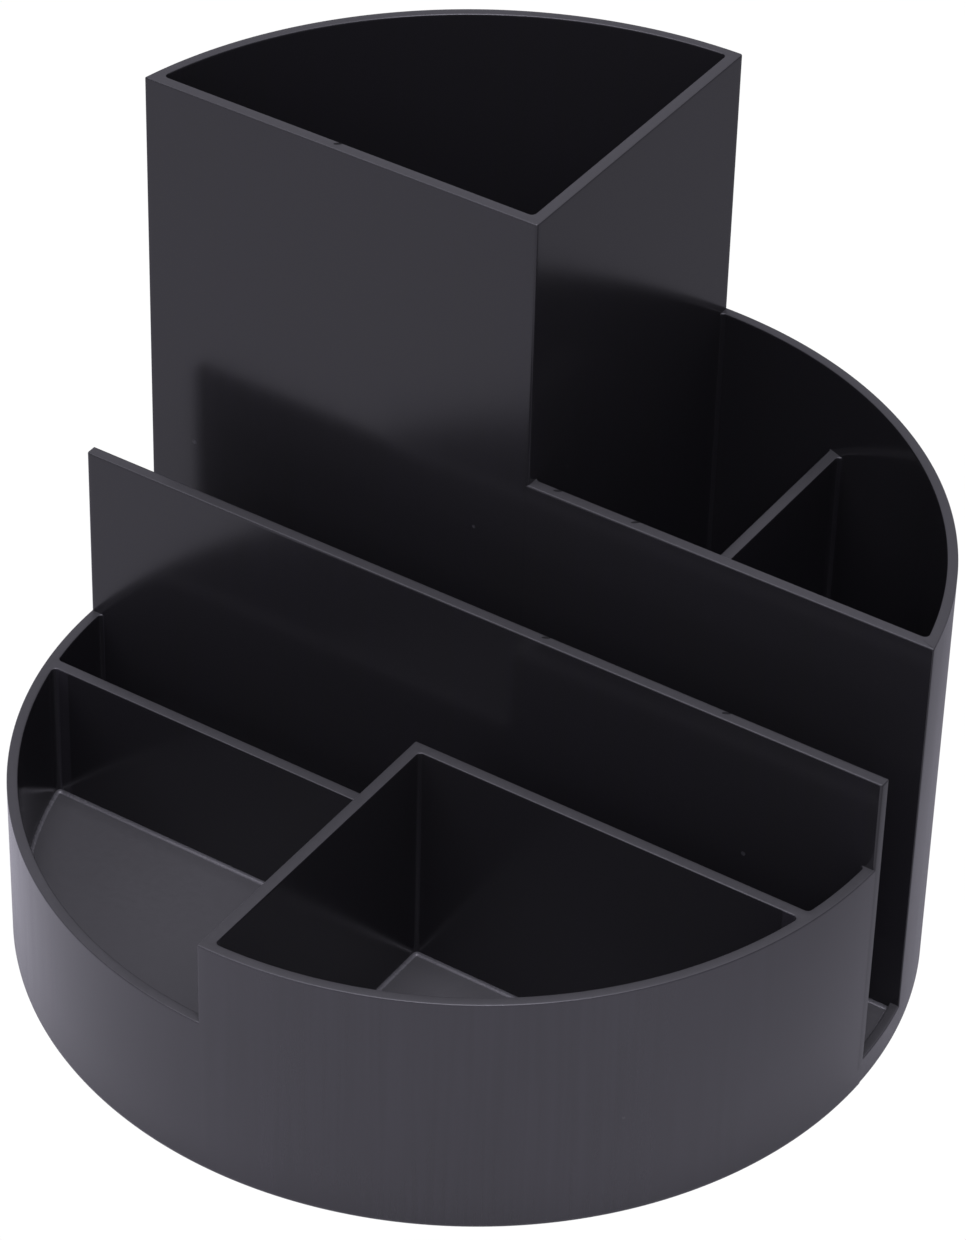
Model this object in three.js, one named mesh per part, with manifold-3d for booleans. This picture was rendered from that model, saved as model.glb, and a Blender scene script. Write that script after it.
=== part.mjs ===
// Round desk organizer: a tall pen tower and a half-height block at the back, an open-ended letter
// slot across the middle, and a stepped tray at the front, all standing on one round base plate.
// Millimetres, +Z up. The origin is the centre of the underside. +X runs along the slot, +Y to the back.
import * as THREE from "three";
import { mergeVertices } from "three/addons/utils/BufferGeometryUtils.js";
import Module from "manifold-3d";

const wasm = await Module();
wasm.setup();

// ---- driving dimensions ----
const OUTER_DIAMETER = 140;
const TOWER_HEIGHT = 119;
const BLOCK_HEIGHT = 73.2;
const SLOT_WALL_HEIGHT = 59;
const TRAY_HIGH_RIM = 43.2;
const TRAY_LOW_RIM = 28.5;
const PLATE_THICKNESS = 3.8;
const SILL_RISE = 1.4; // how far the sill at each slot end stands above the slot's floor
const SHELL_WALL = 1.7; // curved outer walls
const PARTITION_WALL = 1.9; // straight walls
const SLOT_WIDTH = 13.1;
const LONG_BAY_WIDTH = 13; // the long narrow bay in front of the slot wall
const TOWER_SIDE_X = 0.3; // right face of the tower
const REAR_BAY_WIDTH = 22.8; // the narrower of the two bays of the block
const TRAY_SPLIT_X = -0.4; // left face of the wall between the two front bays

// ---- clearances ----
const JOINT_GAP = 0.3; // between neighbouring walls, and between each wall and what it stands on
const FOOT_RECESS_DEPTH = 0.8;
const FOOT_RING_WIDTH = 7;
const BASE_EDGE_CHAMFER = 0.6;

// ---- derived sizes ----
const R_OUT = OUTER_DIAMETER / 2;
const R_IN = R_OUT - SHELL_WALL;
const R_FIT = R_IN - JOINT_GAP; // where a straight wall stops short of the curved wall
const WALL_FOOT = PLATE_THICKNESS + JOINT_GAP;
const SILL_TOP = PLATE_THICKNESS + SILL_RISE;
const REAR_DIVIDER_HEIGHT = SLOT_WALL_HEIGHT;

const SLOT_WALL_BACK = 0;
const SLOT_WALL_FRONT = SLOT_WALL_BACK - PARTITION_WALL;
const PANEL_FRONT = SLOT_WALL_BACK + SLOT_WIDTH;
const PANEL_BACK = PANEL_FRONT + PARTITION_WALL;
const STEP_WALL_BACK = SLOT_WALL_FRONT - LONG_BAY_WIDTH;
const STEP_WALL_FRONT = STEP_WALL_BACK - PARTITION_WALL;
const TOWER_SIDE_INNER = TOWER_SIDE_X - PARTITION_WALL;
const REAR_DIVIDER_X = TOWER_SIDE_X + REAR_BAY_WIDTH;
const TRAY_SPLIT_RIGHT = TRAY_SPLIT_X + PARTITION_WALL;

const ARC_STEP = THREE.MathUtils.degToRad(3);

// ---- outlines ----
const onCircle = (radius, angle) => new THREE.Vector2(radius * Math.cos(angle), radius * Math.sin(angle));

// Points on a circle from angle a to angle b, with both ends and every whole step in between.
function arc(radius, a, b) {
  const points = [onCircle(radius, a)];
  const turn = Math.sign(b - a);
  const first = turn > 0 ? Math.floor(a / ARC_STEP + 1.02) : Math.ceil(a / ARC_STEP - 1.02);
  for (let k = first; turn * (b - k * ARC_STEP) > 0.02 * ARC_STEP; k += turn) {
    points.push(onCircle(radius, k * ARC_STEP));
  }
  points.push(onCircle(radius, b));
  return points;
}

// Where a circle meets a line of constant y (right or left half) or constant x (back or front half).
const rightAtY = (radius, y) => Math.asin(y / radius);
const leftAtY = (radius, y) => Math.PI - Math.asin(y / radius);
const backAtX = (radius, x) => Math.acos(x / radius);
const frontAtX = (radius, x) => 2 * Math.PI - Math.acos(x / radius);

// A length of the curved shell; from and to give, for a radius, the angle at which the length ends.
function shellOutline(from, to) {
  return [...arc(R_OUT, from(R_OUT), to(R_OUT)), ...arc(R_IN, to(R_IN), from(R_IN))];
}

// A straight wall along X between two y values, with ends that are numbers (cut square) or radii (cut round).
function wallAlongX(y0, y1, left, right) {
  const rightEnd =
    right.radius === undefined
      ? [new THREE.Vector2(right.x, y0), new THREE.Vector2(right.x, y1)]
      : arc(right.radius, rightAtY(right.radius, y0), rightAtY(right.radius, y1));
  const leftEnd =
    left.radius === undefined
      ? [new THREE.Vector2(left.x, y1), new THREE.Vector2(left.x, y0)]
      : arc(left.radius, leftAtY(left.radius, y1), leftAtY(left.radius, y0));
  return [...rightEnd, ...leftEnd];
}

// A straight wall along Y from a square end at y0 to the curved shell at the back or the front.
function wallAlongY(x0, x1, y0, meets) {
  const near = [new THREE.Vector2(x0, y0), new THREE.Vector2(x1, y0)];
  return meets === "back"
    ? [...near, ...arc(R_FIT, backAtX(R_FIT, x1), backAtX(R_FIT, x0))]
    : [...near.reverse(), ...arc(R_FIT, frontAtX(R_FIT, x0), frontAtX(R_FIT, x1))];
}

// ---- solids ----
function prism(outline, bottom, top) {
  const geometry = new THREE.ExtrudeGeometry(new THREE.Shape(outline), {
    depth: top - bottom,
    bevelEnabled: false,
  });
  geometry.translate(0, 0, bottom);
  geometry.deleteAttribute("normal");
  geometry.deleteAttribute("uv");
  return mergeVertices(geometry, 1e-4);
}

function toManifold(geometry) {
  return new wasm.Manifold(
    new wasm.Mesh({
      numProp: 3,
      vertProperties: geometry.attributes.position.array,
      triVerts: new Uint32Array(geometry.index.array),
    }),
  );
}

function fromManifold(solid) {
  const mesh = solid.getMesh();
  const geometry = new THREE.BufferGeometry();
  geometry.setAttribute("position", new THREE.BufferAttribute(new Float32Array(mesh.vertProperties), 3));
  geometry.setIndex(new THREE.BufferAttribute(new Uint32Array(mesh.triVerts), 1));
  return geometry;
}

// A round disc whose underside edge is chamfered: a short cone frustum below a straight prism.
function chamferedDisc(radius, thickness, chamfer) {
  const sides = Math.round((2 * Math.PI) / ARC_STEP);
  const rings = [
    [radius - chamfer, 0],
    [radius, chamfer],
    [radius, thickness],
  ];
  const positions = [0, 0, 0, 0, 0, thickness];
  for (const [r, z] of rings) {
    for (let i = 0; i < sides; i++) {
      positions.push(r * Math.cos(i * ARC_STEP), r * Math.sin(i * ARC_STEP), z);
    }
  }
  const index = [];
  const at = (ring, i) => 2 + ring * sides + (i % sides);
  for (let i = 0; i < sides; i++) {
    index.push(0, at(0, i + 1), at(0, i));
    index.push(1, at(2, i), at(2, i + 1));
    for (let ring = 0; ring < 2; ring++) {
      index.push(at(ring, i), at(ring, i + 1), at(ring + 1, i + 1));
      index.push(at(ring, i), at(ring + 1, i + 1), at(ring + 1, i));
    }
  }
  const geometry = new THREE.BufferGeometry();
  geometry.setAttribute("position", new THREE.BufferAttribute(new Float32Array(positions), 3));
  geometry.setIndex(index);
  return geometry;
}

const circle = (radius) => arc(radius, 0, 2 * Math.PI).slice(0, -1);

function basePlate() {
  const disc = toManifold(chamferedDisc(R_OUT, PLATE_THICKNESS, BASE_EDGE_CHAMFER));
  const recess = toManifold(prism(circle(R_OUT - FOOT_RING_WIDTH), -1, FOOT_RECESS_DEPTH));
  return fromManifold(disc.subtract(recess));
}

// ---- the organizer ----
const organizer = new THREE.Group();
organizer.name = "desk_organizer";

const SATIN = { color: 0x35343a, roughness: 0.42, metalness: 0 };
const GLOSS = { color: 0x1c1b1e, roughness: 0.24, metalness: 0 };

function add(name, geometry, look) {
  geometry.computeVertexNormals();
  const mesh = new THREE.Mesh(geometry, new THREE.MeshStandardMaterial(look));
  mesh.name = name;
  organizer.add(mesh);
}

const stand = (outline, top) => prism(outline, WALL_FOOT, top);
const shellEnd = { radius: R_OUT };
const insideShell = { radius: R_FIT };

add("base_plate", basePlate(), SATIN);

// Pen tower: flat front and side, curved back.
add(
  "tower_front_wall",
  stand(wallAlongX(PANEL_FRONT, PANEL_BACK, shellEnd, { x: TOWER_SIDE_X }), TOWER_HEIGHT),
  GLOSS,
);
add(
  "tower_side_wall",
  stand(wallAlongY(TOWER_SIDE_INNER, TOWER_SIDE_X, PANEL_BACK + JOINT_GAP, "back"), TOWER_HEIGHT),
  GLOSS,
);
add(
  "tower_curved_wall",
  stand(
    shellOutline(
      (r) => backAtX(r, TOWER_SIDE_X),
      (r) => leftAtY(r, PANEL_BACK + JOINT_GAP),
    ),
    TOWER_HEIGHT,
  ),
  SATIN,
);

// Half-height block beside the tower, with one divider.
add(
  "block_front_wall",
  stand(wallAlongX(PANEL_FRONT, PANEL_BACK, { x: TOWER_SIDE_X + JOINT_GAP }, shellEnd), BLOCK_HEIGHT),
  GLOSS,
);
add(
  "block_curved_wall",
  stand(
    shellOutline(
      (r) => rightAtY(r, PANEL_BACK + JOINT_GAP),
      (r) => backAtX(r, TOWER_SIDE_X + JOINT_GAP),
    ),
    BLOCK_HEIGHT,
  ),
  SATIN,
);
add(
  "block_divider",
  stand(
    wallAlongY(REAR_DIVIDER_X, REAR_DIVIDER_X + PARTITION_WALL, PANEL_BACK + JOINT_GAP, "back"),
    REAR_DIVIDER_HEIGHT,
  ),
  GLOSS,
);

// Letter slot: its front wall, and a low sill across each open end.
add(
  "slot_wall",
  stand(wallAlongX(SLOT_WALL_FRONT, SLOT_WALL_BACK, shellEnd, shellEnd), SLOT_WALL_HEIGHT),
  GLOSS,
);
add(
  "slot_sill_right",
  stand(
    shellOutline(
      (r) => rightAtY(r, SLOT_WALL_BACK + JOINT_GAP),
      (r) => rightAtY(r, PANEL_FRONT - JOINT_GAP),
    ),
    SILL_TOP,
  ),
  SATIN,
);
add(
  "slot_sill_left",
  stand(
    shellOutline(
      (r) => leftAtY(r, PANEL_FRONT - JOINT_GAP),
      (r) => leftAtY(r, SLOT_WALL_BACK + JOINT_GAP),
    ),
    SILL_TOP,
  ),
  SATIN,
);

// Front tray: a low curved wall on the left, a high one on the right, and the walls between its bays.
add(
  "tray_low_wall",
  stand(
    shellOutline(
      (r) => leftAtY(r, SLOT_WALL_FRONT - JOINT_GAP),
      (r) => frontAtX(r, TRAY_SPLIT_X - JOINT_GAP),
    ),
    TRAY_LOW_RIM,
  ),
  SATIN,
);
add(
  "tray_high_wall",
  stand(
    shellOutline(
      (r) => frontAtX(r, TRAY_SPLIT_X),
      (r) => 2 * Math.PI + rightAtY(r, SLOT_WALL_FRONT - JOINT_GAP),
    ),
    TRAY_HIGH_RIM,
  ),
  SATIN,
);
add(
  "tray_split_wall",
  stand(wallAlongY(TRAY_SPLIT_X, TRAY_SPLIT_RIGHT, STEP_WALL_BACK, "front"), TRAY_HIGH_RIM),
  GLOSS,
);
add(
  "tray_step_wall_low",
  stand(
    wallAlongX(STEP_WALL_FRONT, STEP_WALL_BACK, insideShell, { x: TRAY_SPLIT_X - JOINT_GAP }),
    TRAY_LOW_RIM,
  ),
  GLOSS,
);
add(
  "tray_step_wall_high",
  stand(
    wallAlongX(STEP_WALL_FRONT, STEP_WALL_BACK, { x: TRAY_SPLIT_RIGHT + JOINT_GAP }, insideShell),
    TRAY_HIGH_RIM,
  ),
  GLOSS,
);

export default organizer;
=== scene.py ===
"""Round moulded desk organizer: tower, half-height block, letter slot and stepped tray in black plastic."""
import logging
import math
from dataclasses import dataclass, field
from enum import Enum
from functools import cache
from typing import ClassVar, Optional, Sequence, Union

import bmesh
import bpy
from mathutils import Matrix, Vector
from mathutils.geometry import tessellate_polygon


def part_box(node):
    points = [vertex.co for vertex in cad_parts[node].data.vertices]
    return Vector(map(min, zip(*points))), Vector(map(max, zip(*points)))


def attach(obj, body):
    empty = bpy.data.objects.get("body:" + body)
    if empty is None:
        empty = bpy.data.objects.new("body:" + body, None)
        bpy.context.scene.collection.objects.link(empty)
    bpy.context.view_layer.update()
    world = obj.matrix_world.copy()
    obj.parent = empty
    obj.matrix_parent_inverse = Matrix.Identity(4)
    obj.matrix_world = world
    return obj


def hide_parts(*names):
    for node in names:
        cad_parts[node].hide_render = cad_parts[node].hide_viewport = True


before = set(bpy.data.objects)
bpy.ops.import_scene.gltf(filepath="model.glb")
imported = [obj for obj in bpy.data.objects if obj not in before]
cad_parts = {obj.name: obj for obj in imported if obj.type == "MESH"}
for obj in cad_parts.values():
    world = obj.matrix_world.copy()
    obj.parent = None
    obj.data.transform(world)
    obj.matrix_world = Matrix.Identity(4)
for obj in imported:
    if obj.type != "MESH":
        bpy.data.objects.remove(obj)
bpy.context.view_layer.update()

MM = 0.001
CUT_TOLERANCE = 1e-7
CREASE = math.radians(34.0)
LOG = logging.getLogger("desk_organizer")

Point = tuple[float, float]


# ---------------------------------------------------------------- plan outlines


class Run(Enum):
    """How an outline travels from one corner to the next."""

    LINE = "line"
    ARC_LEFT = "arc_left"
    ARC_RIGHT = "arc_right"


@dataclass(frozen=True)
class Corner:
    """A corner of a plan outline, with its rounding and the run that follows it."""

    x: float
    y: float
    rounding: float = 0.0
    run: Run = Run.LINE


@dataclass(frozen=True)
class Outline:
    """A closed plan outline that keeps the material on its left.

    Arcs run round the organizer's axis in whole degrees, so that neighbouring walls share their facets, and no
    step lies nearer to an arc's end than arc_spare of a step. Straight runs get a point near each end.
    """

    corners: tuple[Corner, ...]
    arc_step: float = math.radians(1.0)
    arc_spare: float = 0.15
    bend_step: float = math.radians(13.0)
    support: float = 0.6 * MM

    @staticmethod
    def _heading(corner: Corner, other: Corner, run: Run, arriving: bool) -> Vector:
        """Gives the unit direction of travel at a corner.

        Args:
            corner: the corner where the direction is wanted.
            other: the corner at the run's other end.
            run: the kind of run.
            arriving: True if the run ends at the corner.

        Returns:
            The direction as a 2D unit vector.
        """
        if run is Run.LINE:
            along = Vector((corner.x - other.x, corner.y - other.y))
            return (along if arriving else -along).normalized()
        side = 1.0 if run is Run.ARC_LEFT else -1.0
        return Vector((-corner.y, corner.x)).normalized() * side

    @staticmethod
    def _meet(corner: Corner, runs: tuple[Run, Run], heads: tuple[Vector, Vector], shift: float) -> Vector:
        """Finds the centre of a corner's rounding, where both runs moved sideways cross.

        Args:
            corner: the corner to round.
            runs: the run before and the run after it.
            heads: their directions of travel at the corner.
            shift: how far both move to the left.

        Returns:
            The centre as a 2D vector.
        """
        at = Vector((corner.x, corner.y))
        lines = [(at + Vector((-h.y, h.x)) * shift, h) for r, h in zip(runs, heads) if r is Run.LINE]
        if len(lines) == 2:
            (p, d), (q, e) = lines
            cross = d.x * e.y - d.y * e.x
            gap = q - p
            return p + d * ((gap.x * e.y - gap.y * e.x) / cross)
        arc = next(r for r in runs if r is not Run.LINE)
        radius = at.length - (shift if arc is Run.ARC_LEFT else -shift)
        p, d = lines[0]
        half, rest = p.dot(d), p.dot(p) - radius * radius
        root = math.sqrt(max(half * half - rest, 0.0))
        return min((p + d * (-half + s * root) for s in (1, -1)), key=lambda c: (c - at).length)

    def points(self) -> list[Vector]:
        """Samples the outline, with every corner rounded.

        Returns:
            The points in order, as 2D vectors.
        """
        corners = self.corners
        count = len(corners)
        bends: list[list[Vector]] = []
        for i, corner in enumerate(corners):
            before, after = corners[i - 1], corners[(i + 1) % count]
            heads = (
                self._heading(corner, before, before.run, True),
                self._heading(corner, after, corner.run, False),
            )
            at = Vector((corner.x, corner.y))
            if corner.rounding <= 0.0:
                bends.append([at])
                continue
            turn = 1.0 if heads[0].x * heads[1].y - heads[0].y * heads[1].x > 0 else -1.0
            runs = (before.run, corner.run)
            centre = self._meet(corner, runs, heads, turn * corner.rounding)
            ends = []
            for run, head in zip(runs, heads):
                if run is Run.LINE:
                    ends.append(at + head * (centre - at).dot(head))
                else:
                    ends.append(centre.normalized() * at.length)
            first, last = (math.atan2((e - centre).y, (e - centre).x) for e in ends)
            sweep = (last - first) % math.tau if turn > 0 else -((first - last) % math.tau)
            steps = max(3, math.ceil(abs(sweep) / self.bend_step))
            bends.append(
                [
                    centre
                    + Vector((math.cos(first + sweep * k / steps), math.sin(first + sweep * k / steps)))
                    * corner.rounding
                    for k in range(steps + 1)
                ]
            )
        made: list[Vector] = []
        for i, corner in enumerate(corners):
            made.extend(bends[i])
            start, end = bends[i][-1], bends[(i + 1) % count][0]
            if corner.run is Run.LINE:
                if (end - start).length > 3 * self.support:
                    along = (end - start).normalized() * self.support
                    made.extend([start + along, end - along])
                continue
            a, b = math.atan2(start.y, start.x), math.atan2(end.y, end.x)
            sign = 1 if corner.run is Run.ARC_LEFT else -1
            span = (sign * (b - a)) % math.tau
            k = math.floor(sign * a / self.arc_step + 1.0 + self.arc_spare)
            while k * self.arc_step - sign * a < span - self.arc_spare * self.arc_step:
                angle = sign * k * self.arc_step
                made.append(Vector((math.cos(angle), math.sin(angle))) * start.length)
                k += 1
        return made


def shifted(points: Sequence[Vector], distance: float) -> list[Vector]:
    """Moves a closed outline to its left, which is into its material.

    Args:
        points: the outline's points in order.
        distance: how far it moves.

    Returns:
        The moved points.
    """
    made = []
    for i, p in enumerate(points):
        before = (p - points[i - 1]).normalized()
        after = (points[(i + 1) % len(points)] - p).normalized()
        left = Vector((-before.y - after.y, before.x + after.x))
        made.append(p + left * (distance / (1.0 + max(before.dot(after), -0.5))))
    return made


def at_y(radius: float, y: float, side: int) -> Point:
    """Gives the point of a circle at a y value.

    Args:
        radius: the circle's radius, round the organizer's axis.
        y: the point's y.
        side: 1 for the right, -1 for the left.

    Returns:
        The point.
    """
    return side * math.sqrt(radius * radius - y * y), y


def at_x(radius: float, x: float, side: int) -> Point:
    """Gives the point of a circle at an x value.

    Args:
        radius: the circle's radius, round the organizer's axis.
        x: the point's x.
        side: 1 for the back, -1 for the front.

    Returns:
        The point.
    """
    return x, side * math.sqrt(radius * radius - x * x)


# ---------------------------------------------------------------- mesh building


@dataclass(frozen=True)
class Rim:
    """The rounded top edge of a moulded wall, or the rounded bottom edge of the base."""

    radius: float
    steps: int = 5
    support: float = 0.3 * MM

    def levels(self, height: float, upward: bool = True) -> list[tuple[float, float]]:
        """Lists the steps of the rounding.

        Args:
            height: where the wall ends.
            upward: True for a top edge, False for a bottom edge.

        Returns:
            Pairs of height and inset, from the straight wall to its end.
        """
        sign = 1.0 if upward else -1.0
        made = [(height - sign * (self.radius + self.support), 0.0)]
        for k in range(self.steps + 1):
            turn = math.pi / 2 * k / self.steps
            drop = self.radius * (1 - math.sin(turn))
            made.append((height - sign * drop, self.radius * (1 - math.cos(turn))))
        return made


def cap(bm: bmesh.types.BMesh, rings: Sequence[Sequence[bmesh.types.BMVert]]) -> None:
    """Closes one end of a prism, leaving its holes open.

    Args:
        bm: the mesh.
        rings: the end's vertices, the outer ring first and then the holes.
    """
    if len(rings) == 1:
        bm.faces.new(rings[0])
        return
    flat = [v for ring in rings for v in ring]
    for a, b, c in tessellate_polygon([[v.co for v in ring] for ring in rings]):
        if len({a, b, c}) == 3:
            bm.faces.new((flat[a], flat[b], flat[c]))


def raise_sides(
    bm: bmesh.types.BMesh, outline: Sequence[Vector], levels: Sequence[tuple[float, float]]
) -> tuple[list[bmesh.types.BMVert], list[bmesh.types.BMVert]]:
    """Raises an outline through its levels as a band of side faces.

    Args:
        bm: the mesh.
        outline: the outline's points in order.
        levels: pairs of height and inset.

    Returns:
        The first and the last ring of vertices.
    """
    rings = []
    for z, inset in levels:
        loop = shifted(outline, inset) if inset > 0 else outline
        rings.append([bm.verts.new((p.x, p.y, z)) for p in loop])
    for low, high in zip(rings, rings[1:]):
        for i in range(len(low)):
            j = (i + 1) % len(low)
            bm.faces.new((low[i], low[j], high[j], high[i]))
    return rings[0], rings[-1]


def prism(
    outlines: Sequence[Sequence[Vector]], foot: float, top: float, rim: Optional[Rim]
) -> bmesh.types.BMesh:
    """Raises plan outlines into one closed solid.

    Args:
        outlines: the outer outline and then any holes, all with the material on their left.
        foot: height of the underside.
        top: height of the top.
        rim: rounding of the top edge, or None for a sharp one.

    Returns:
        The solid.
    """
    levels = [(foot, 0.0)] + (rim.levels(top) if rim else [(top, 0.0)])
    bm = bmesh.new()
    for rings in zip(*[raise_sides(bm, outline, levels) for outline in outlines]):
        cap(bm, rings)
    bmesh.ops.recalc_face_normals(bm, faces=bm.faces)
    return bm


def sector(bm: bmesh.types.BMesh, centre: Point, start: Point, end: Point) -> bmesh.types.BMesh:
    """Cuts out the part of a solid that lies between two rays, counter-clockwise, and closes it.

    Args:
        bm: the solid, which is left as it is.
        centre: where the rays start.
        start: a point of the first ray.
        end: a point of the second ray.

    Returns:
        The part as a closed solid.
    """
    part = bm.copy()
    for (x, y), side in ((start, 1.0), (end, -1.0)):
        dx, dy = x - centre[0], y - centre[1]
        bmesh.ops.bisect_plane(
            part,
            geom=[*part.verts, *part.edges, *part.faces],
            dist=CUT_TOLERANCE,
            plane_co=(centre[0], centre[1], 0.0),
            plane_no=(-dy * side, dx * side, 0.0),
            clear_inner=True,
        )
        edges = [e for e in part.edges if e.is_boundary]
        bmesh.ops.holes_fill(part, edges=edges, sides=0)
    bmesh.ops.recalc_face_normals(part, faces=part.faces)
    return part


def half(bm: bmesh.types.BMesh, start: Point, end: Point) -> bmesh.types.BMesh:
    """Keeps the part of a solid on the left of a line, and closes it.

    Args:
        bm: the solid, which is left as it is.
        start: a point of the line.
        end: another point, towards which the line runs.

    Returns:
        The part as a closed solid.
    """
    return sector(bm, start, end, (2 * start[0] - end[0], 2 * start[1] - end[1]))


def carve(bm: bmesh.types.BMesh, plan: Sequence[Point], inside: bool) -> bmesh.types.BMesh:
    """Keeps the part of a solid inside or outside a polygon in plan.

    Args:
        bm: the solid, which is left as it is.
        plan: the polygon, counter-clockwise.
        inside: True to keep the inside.

    Returns:
        The part as a closed solid.
    """
    tool = prism([[Vector(p) for p in plan]], -10 * MM, 300 * MM, None)
    shapes = []
    for label, shape in (("whole", bm), ("cutter", tool)):
        mesh = bpy.data.meshes.new(label)
        shape.to_mesh(mesh)
        shapes.append(bpy.data.objects.new(label, mesh))
        bpy.context.scene.collection.objects.link(shapes[-1])
    whole, cutter = shapes
    modifier = whole.modifiers.new("carve", "BOOLEAN")
    modifier.operation = "INTERSECT" if inside else "DIFFERENCE"
    modifier.solver, modifier.object = "MANIFOLD", cutter
    graph = bpy.context.evaluated_depsgraph_get()
    cut = bpy.data.meshes.new_from_object(whole.evaluated_get(graph))
    made = bmesh.new()
    made.from_mesh(cut)
    bmesh.ops.recalc_face_normals(made, faces=made.faces)
    for shape in shapes:
        mesh = shape.data
        bpy.data.objects.remove(shape)
        bpy.data.meshes.remove(mesh)
    bpy.data.meshes.remove(cut)
    return made


def piece(name: str, bm: bmesh.types.BMesh, mesh: Optional[bpy.types.Mesh] = None) -> bpy.types.Object:
    """Turns a solid into a scene object with smooth faces and sharp creases.

    Args:
        name: the object's name.
        bm: the solid, which is freed.
        mesh: the mesh to fill, or None for a new one.

    Returns:
        The object, linked to the scene.
    """
    mesh = mesh or bpy.data.meshes.new(name)
    bm.to_mesh(mesh)
    bm.free()
    mesh.polygons.foreach_set("use_smooth", [True] * len(mesh.polygons))
    mesh.set_sharp_from_angle(angle=CREASE)
    made = bpy.data.objects.new(name, mesh)
    bpy.context.scene.collection.objects.link(made)
    return made


# ---------------------------------------------------------------- geometry nodes


def add_node(
    tree: bpy.types.NodeTree, kind: str, inputs: dict[Union[str, int], object], **settings: object
) -> bpy.types.Node:
    """Adds a node with its settings and inputs.

    Args:
        tree: the node tree.
        kind: the node's type.
        inputs: a socket to link from, or a value, for each input by name or number.
        settings: the node's own properties.

    Returns:
        The node.
    """
    node = tree.nodes.new(kind)
    for name, value in settings.items():
        setattr(node, name, value)
    for name, value in inputs.items():
        if isinstance(value, bpy.types.NodeSocket):
            tree.links.new(value, node.inputs[name])
        else:
            node.inputs[name].default_value = value
    return node


def maths(tree: bpy.types.NodeTree, operation: str, *values: object) -> bpy.types.NodeSocket:
    """Adds a math node.

    Args:
        tree: the node tree.
        operation: the node's operation.
        values: numbers or sockets for its inputs.

    Returns:
        Its output socket.
    """
    return add_node(tree, "ShaderNodeMath", dict(enumerate(values)), operation=operation).outputs[0]


class GrownTree:
    """What the Geometry Nodes trees share: their sockets and their last nodes."""

    @staticmethod
    def start(name: str, inputs: dict[str, str]) -> tuple[bpy.types.GeometryNodeTree, bpy.types.Node]:
        """Makes an empty tree.

        Args:
            name: the tree's name.
            inputs: the kind of each input, besides Geometry and Finish.

        Returns:
            The tree and its input node.
        """
        tree = bpy.data.node_groups.new(name, "GeometryNodeTree")
        for label, kind in {"Geometry": "Geometry", **inputs, "Finish": "Material"}.items():
            tree.interface.new_socket(label, in_out="INPUT", socket_type="NodeSocket" + kind)
        tree.interface.new_socket("Geometry", in_out="OUTPUT", socket_type="NodeSocketGeometry")
        return tree, tree.nodes.new("NodeGroupInput")

    @staticmethod
    def end(tree: bpy.types.GeometryNodeTree, given: bpy.types.Node, shape: bpy.types.NodeSocket) -> None:
        """Makes the shape real, gives it its finish and hands it out.

        Args:
            tree: the tree.
            given: its input node.
            shape: the socket that holds the shape.
        """
        real = add_node(tree, "GeometryNodeRealizeInstances", {"Geometry": shape})
        sockets = {"Geometry": real.outputs["Geometry"], "Material": given.outputs["Finish"]}
        finish = add_node(tree, "GeometryNodeSetMaterial", sockets)
        add_node(tree, "NodeGroupOutput", {"Geometry": finish.outputs["Geometry"]})


class CoveTree(GrownTree):
    """The tree that sweeps a hollow fillet along the foot of a wall."""

    ARC_STEPS = 6

    @classmethod
    @cache
    def build(cls) -> bpy.types.GeometryNodeTree:
        """Builds the tree: a quarter arc, closed by one point inside the corner, swept along a path.

        Returns:
            The tree, with the inputs Geometry, Radius, Overlap and Finish.
        """
        tree, given = cls.start("floor_cove", {"Radius": "Float", "Overlap": "Float"})
        radius, overlap = given.outputs["Radius"], given.outputs["Overlap"]
        index = add_node(tree, "GeometryNodeInputIndex", {}).outputs[0]
        angle = maths(tree, "MULTIPLY", index, math.pi / 2 / cls.ARC_STEPS)
        across = maths(tree, "SUBTRACT", 1.0, maths(tree, "SINE", angle))
        upward = maths(tree, "SUBTRACT", maths(tree, "COSINE", angle), 1.0)
        arc = {"X": maths(tree, "MULTIPLY", across, radius), "Y": maths(tree, "MULTIPLY", upward, radius)}
        corner = {"X": maths(tree, "MULTIPLY", overlap, -1.0), "Y": overlap}
        choice = {
            "Switch": maths(tree, "GREATER_THAN", index, cls.ARC_STEPS + 0.5),
            "False": add_node(tree, "ShaderNodeCombineXYZ", arc).outputs[0],
            "True": add_node(tree, "ShaderNodeCombineXYZ", corner).outputs[0],
        }
        place = add_node(tree, "GeometryNodeSwitch", choice, input_type="VECTOR")
        circle = add_node(tree, "GeometryNodeCurvePrimitiveCircle", {"Resolution": cls.ARC_STEPS + 2})
        points = {"Geometry": circle.outputs["Curve"], "Position": place.outputs[0]}
        profile = add_node(tree, "GeometryNodeSetPosition", points)
        path = add_node(tree, "GeometryNodeMeshToCurve", {"Mesh": given.outputs["Geometry"]})
        curves = {"Curve": path.outputs["Curve"], "Profile Curve": profile.outputs["Geometry"]}
        sweep = add_node(tree, "GeometryNodeCurveToMesh", curves)
        cls.end(tree, given, sweep.outputs["Mesh"])
        return tree


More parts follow.
